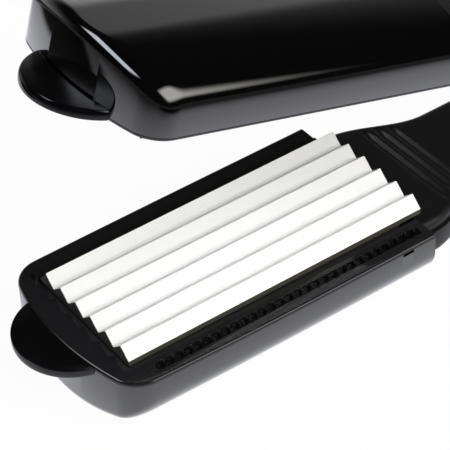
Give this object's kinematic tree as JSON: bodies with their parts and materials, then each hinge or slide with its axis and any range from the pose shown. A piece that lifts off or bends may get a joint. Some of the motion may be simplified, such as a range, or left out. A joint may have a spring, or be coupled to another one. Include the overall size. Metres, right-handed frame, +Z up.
{
  "type": "hair crimper",
  "caption": "Hinged hair crimper: long jaws with nesting zigzag plates, side combs, rounded cool tips and a sprung hinge at the handle's end.",
  "frame": {"origin": "centre of the open crimper's footprint, on the surface that the lower arm lies on", "axes": "+Z up, -X towards the jaw tips, +X towards the hinge and the cord inlet, -Y the side that shows the lower jaw's comb"},
  "size_m": [0.2676, 0.0556, 0.1026],
  "materials": {
    "jaw_gloss": "high gloss moulded black",
    "frame_plastic": "satin black, heat resistant",
    "plate_coated": "white ceramic coat on extruded metal",
    "carrier_plastic": "heat resistant moulding",
    "heater_plate": "flat heating element in a metal sleeve",
    "spring_steel": "bright spring steel",
    "screw_steel": "zinc plated",
    "tip_plastic": "fine satin black",
    "arm_plastic": "satin black",
    "lead_sleeve": "silicone insulation",
    "gland_rubber": "matt black",
    "lamp_lens": "clear red",
    "board_laminate": "green laminate"
  },
  "bodies": {
    "lower_arm": {"lower_jaw_shell": "jaw_gloss", "lower_insert_frame": "frame_plastic", "lower_comb_strip": "frame_plastic", "lower_crimp_plate": "plate_coated", "lower_plate_carrier": "carrier_plastic", "lower_heater": "heater_plate", "lower_heater_spring_1": "spring_steel", "lower_heater_spring_2": "spring_steel", "lower_thermal_cutout": "spring_steel", "lower_carrier_screw_1": "screw_steel", "lower_carrier_screw_2": "screw_steel", "lower_cool_tip": "tip_plastic", "lower_arm_shell": "arm_plastic", "lower_inner_cover": "arm_plastic", "lower_cover_screw_1": "screw_steel", "lower_cover_screw_2": "screw_steel", "lower_heater_lead": "lead_sleeve", "hinge_pin": "screw_steel", "hinge_cap_near": "arm_plastic", "hinge_cap_far": "arm_plastic", "hinge_spring": "spring_steel", "rear_cover": "arm_plastic", "cord_gland": "gland_rubber"},
    "upper_arm": {"upper_jaw_shell": "jaw_gloss", "upper_insert_frame": "frame_plastic", "upper_comb_strip": "frame_plastic", "upper_crimp_plate": "plate_coated", "upper_plate_carrier": "carrier_plastic", "upper_heater": "heater_plate", "upper_heater_spring_1": "spring_steel", "upper_heater_spring_2": "spring_steel", "upper_thermal_cutout": "spring_steel", "upper_carrier_screw_1": "screw_steel", "upper_carrier_screw_2": "screw_steel", "upper_cool_tip": "tip_plastic", "upper_arm_shell": "arm_plastic", "upper_inner_cover": "arm_plastic", "upper_cover_screw_1": "screw_steel", "upper_cover_screw_2": "screw_steel", "upper_heater_lead": "lead_sleeve", "power_lamp": "lamp_lens", "circuit_board": "board_laminate"},
    "switch": {"power_switch": "tip_plastic"}
  },
  "joints": [
    {"name": "arm_hinge", "type": "hinge", "parent": "lower_arm", "child": "upper_arm", "pos_m": [0.10395, 0, 0.021], "axis": [0, 1, 0], "range_deg": [-16.2, 0], "stiffness_Nm_per_rad": 1.2, "springref_deg": 20.05},
    {"name": "power_slide", "type": "slide", "parent": "upper_arm", "child": "switch", "axis": [0.9603, 0, -0.279], "range_m": [0, 0.004]}
  ]
}
